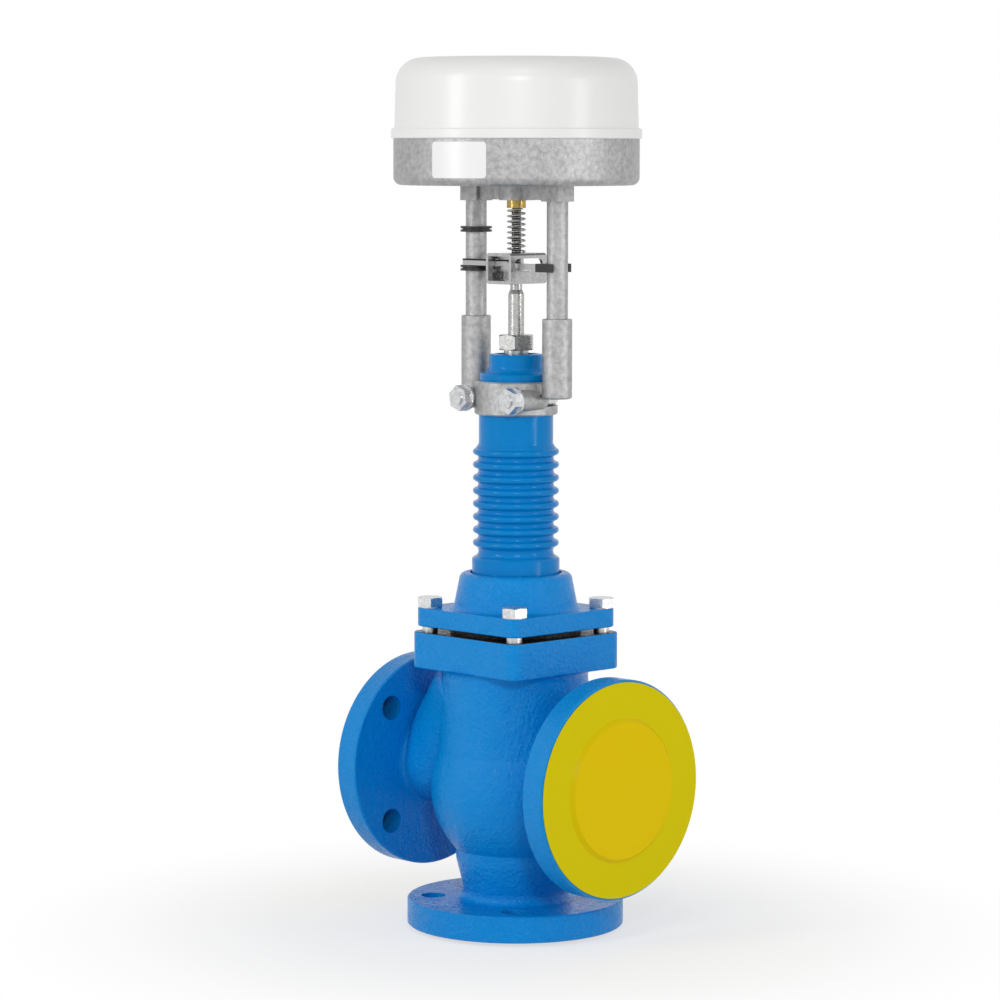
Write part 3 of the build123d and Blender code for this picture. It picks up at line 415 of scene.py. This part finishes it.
# Blank label on the actuator base, bent round its wall
LABEL_FROM = math.radians(-85.8)
LABEL_TO = math.radians(-57.8)
LABEL_LOW = 0.5710
LABEL_HIGH = 0.5976
LABEL_LIFT = 0.00025
LABEL_CORNER = 0.0022
LABEL_STEPS = 48


def blank_label():
    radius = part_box("actuator_base")[1].x + LABEL_LIFT
    points = []
    faces = []
    for step in range(LABEL_STEPS + 1):
        turn = LABEL_FROM + (LABEL_TO - LABEL_FROM) * step / LABEL_STEPS
        from_end = radius * min(turn - LABEL_FROM, LABEL_TO - turn)
        inward = max(0, LABEL_CORNER - from_end)
        drop = LABEL_CORNER - math.sqrt(LABEL_CORNER**2 - inward**2)
        for height in (LABEL_LOW + drop, LABEL_HIGH - drop):
            points.append((radius * math.cos(turn), radius * math.sin(turn), height))
    for step in range(LABEL_STEPS):
        first = 2 * step
        faces.append((first, first + 2, first + 3, first + 1))
    new_mesh("blank_label", points, faces, label_m, "valve")


blank_label()

# Return spring: its upper end bears on the bush; on the real valve it shortens as the stem
# rises, but this wire is drawn at one length
SPRING_TURNS = 8
SPRING_WIRE = 0.0006
TURN_STEPS = 32
WIRE_SIDES = 10


def return_spring():
    low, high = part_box("return_spring")
    radius = high.x - SPRING_WIRE
    rise = high.z - low.z - 2 * SPRING_WIRE
    steps = SPRING_TURNS * TURN_STEPS
    lead = rise / (SPRING_TURNS * math.tau)
    points = []
    faces = []
    for step in range(steps + 1):
        turn = math.tau * SPRING_TURNS * step / steps
        outward = Vector((math.cos(turn), math.sin(turn), 0))
        along = Vector((-radius * math.sin(turn), radius * math.cos(turn), lead)).normalized()
        across = along.cross(outward)
        middle = outward * radius + Vector((0, 0, low.z + SPRING_WIRE + rise * step / steps))
        for side in range(WIRE_SIDES):
            angle = math.tau * side / WIRE_SIDES
            spoke = math.cos(angle) * outward + math.sin(angle) * across
            points.append(middle + SPRING_WIRE * spoke)
    for step in range(steps):
        ring = step * WIRE_SIDES
        for side in range(WIRE_SIDES):
            here = ring + side
            beside = ring + (side + 1) % WIRE_SIDES
            faces.append((here, here + WIRE_SIDES, beside + WIRE_SIDES, beside))
    faces.append(tuple(range(WIRE_SIDES)))
    faces.append(tuple(reversed(range(steps * WIRE_SIDES, (steps + 1) * WIRE_SIDES))))
    spring = new_mesh("spring_wire", points, faces, steel_m, "valve")
    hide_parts("return_spring")
    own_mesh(spring)


return_spring()


def seen_directly(tree):
    """1 for rays from the camera, a mirror or glass, 0 for light that falls on the object."""
    rays = tree.nodes.new("ShaderNodeLightPath").outputs
    sharp = combined(tree, "MAXIMUM", rays["Is Camera Ray"], rays["Is Glossy Ray"])
    return combined(tree, "MAXIMUM", sharp, rays["Is Transmission Ray"])


# Floor: white to the camera, with the object's shadow kept round its foot
FLOOR = 3.0
SHADOW_CORE = 0.1
SHADOW_REACH = 0.42
SHADOW_SHARE = 0.35


def make_floor():
    corners = [(-FLOOR, -FLOOR, 0), (FLOOR, -FLOOR, 0), (FLOOR, FLOOR, 0), (-FLOOR, FLOOR, 0)]
    mesh = bpy.data.meshes.new("floor")
    mesh.from_pydata(corners, [], [(0, 1, 2, 3)])
    floor = bpy.data.objects.new("floor", mesh)
    bpy.context.scene.collection.objects.link(floor)
    material, tree, surface = shader("floor", FLOOR_GREY, roughness=0.9, specular=0.0)
    mesh.materials.append(material)
    white_share = map_range(
        tree,
        length(tree, position(tree)),
        from_low=SHADOW_CORE,
        from_high=SHADOW_REACH,
        to_low=1 - SHADOW_SHARE,
        ease="SMOOTHSTEP",
    )
    glow = tree.nodes.new("ShaderNodeEmission")
    glow.inputs["Color"].default_value = (1, 1, 1, 1)
    glow.inputs["Strength"].default_value = 1
    mix = tree.nodes.new("ShaderNodeMixShader")
    glow_share = combined(tree, "MULTIPLY", white_share, seen_directly(tree))
    tree.links.new(glow_share, mix.inputs["Fac"])
    tree.links.new(surface.outputs["BSDF"], mix.inputs[1])
    tree.links.new(glow.outputs["Emission"], mix.inputs[2])
    tree.links.new(mix.outputs["Shader"], tree.nodes["Material Output"].inputs["Surface"])


# World: a white studio to the camera, a dimmer one for the light that it gives
WORLD_LIGHT = 0.36


def make_world():
    world = bpy.data.worlds.new("studio")
    bpy.context.scene.world = world
    world.use_nodes = True
    tree = world.node_tree
    background = tree.nodes["Background"]
    background.inputs["Color"].default_value = (1, 1, 1, 1)
    strength = map_range(tree, seen_directly(tree), to_low=WORLD_LIGHT)
    tree.links.new(strength, background.inputs["Strength"])


def from_view(right, towards, up):
    """A point right of the valve's axis, towards the camera from it and above the floor."""
    across = Vector((math.cos(CAMERA_AZIMUTH), math.sin(CAMERA_AZIMUTH), 0))
    near = Vector((math.sin(CAMERA_AZIMUTH), -math.cos(CAMERA_AZIMUTH), 0))
    return across * right + near * towards + Vector((0, 0, up))


def area_lamp(name, place, width, height, power):
    """A rectangular lamp that points at the middle of the valve."""
    lamp = bpy.data.lights.new(name, "AREA")
    lamp.shape = "RECTANGLE"
    lamp.size = width
    lamp.size_y = height
    lamp.energy = power
    thing = bpy.data.objects.new(name, lamp)
    thing.location = place
    thing.rotation_euler = (centre - place).to_track_quat("-Z", "Y").to_euler()
    bpy.context.scene.collection.objects.link(thing)


def make_camera():
    data = bpy.data.cameras.new("camera")
    data.sensor_width = SENSOR
    data.lens = FOCAL_PIXELS * SENSOR / IMAGE_PIXELS
    camera = bpy.data.objects.new("camera", data)
    bpy.context.scene.collection.objects.link(camera)
    camera.location = (
        CAMERA_DISTANCE * math.sin(CAMERA_AZIMUTH),
        -CAMERA_DISTANCE * math.cos(CAMERA_AZIMUTH),
        CAMERA_HEIGHT,
    )
    tilt = math.pi / 2 - CAMERA_PITCH
    heading = CAMERA_AZIMUTH + CAMERA_YAW
    camera.rotation_euler = Euler((tilt, CAMERA_ROLL, heading), "XYZ")
    bpy.context.scene.camera = camera


make_floor()
make_world()

left_place = from_view(right=-1.6, towards=1.0, up=1.0)
right_place = from_view(right=1.6, towards=0.9, up=0.5)
front_place = from_view(right=0.15, towards=2.6, up=1.3)
high_place = from_view(right=0.1, towards=1.5, up=2.2)
area_lamp("left_softbox", left_place, width=0.35, height=1.2, power=12)
area_lamp("right_softbox", right_place, width=0.3, height=1.2, power=8)
area_lamp("front_lamp", front_place, width=0.3, height=0.3, power=12)
area_lamp("high_lamp", high_place, width=0.2, height=0.2, power=3)

make_camera()
bpy.context.scene.view_settings.view_transform = "Standard"
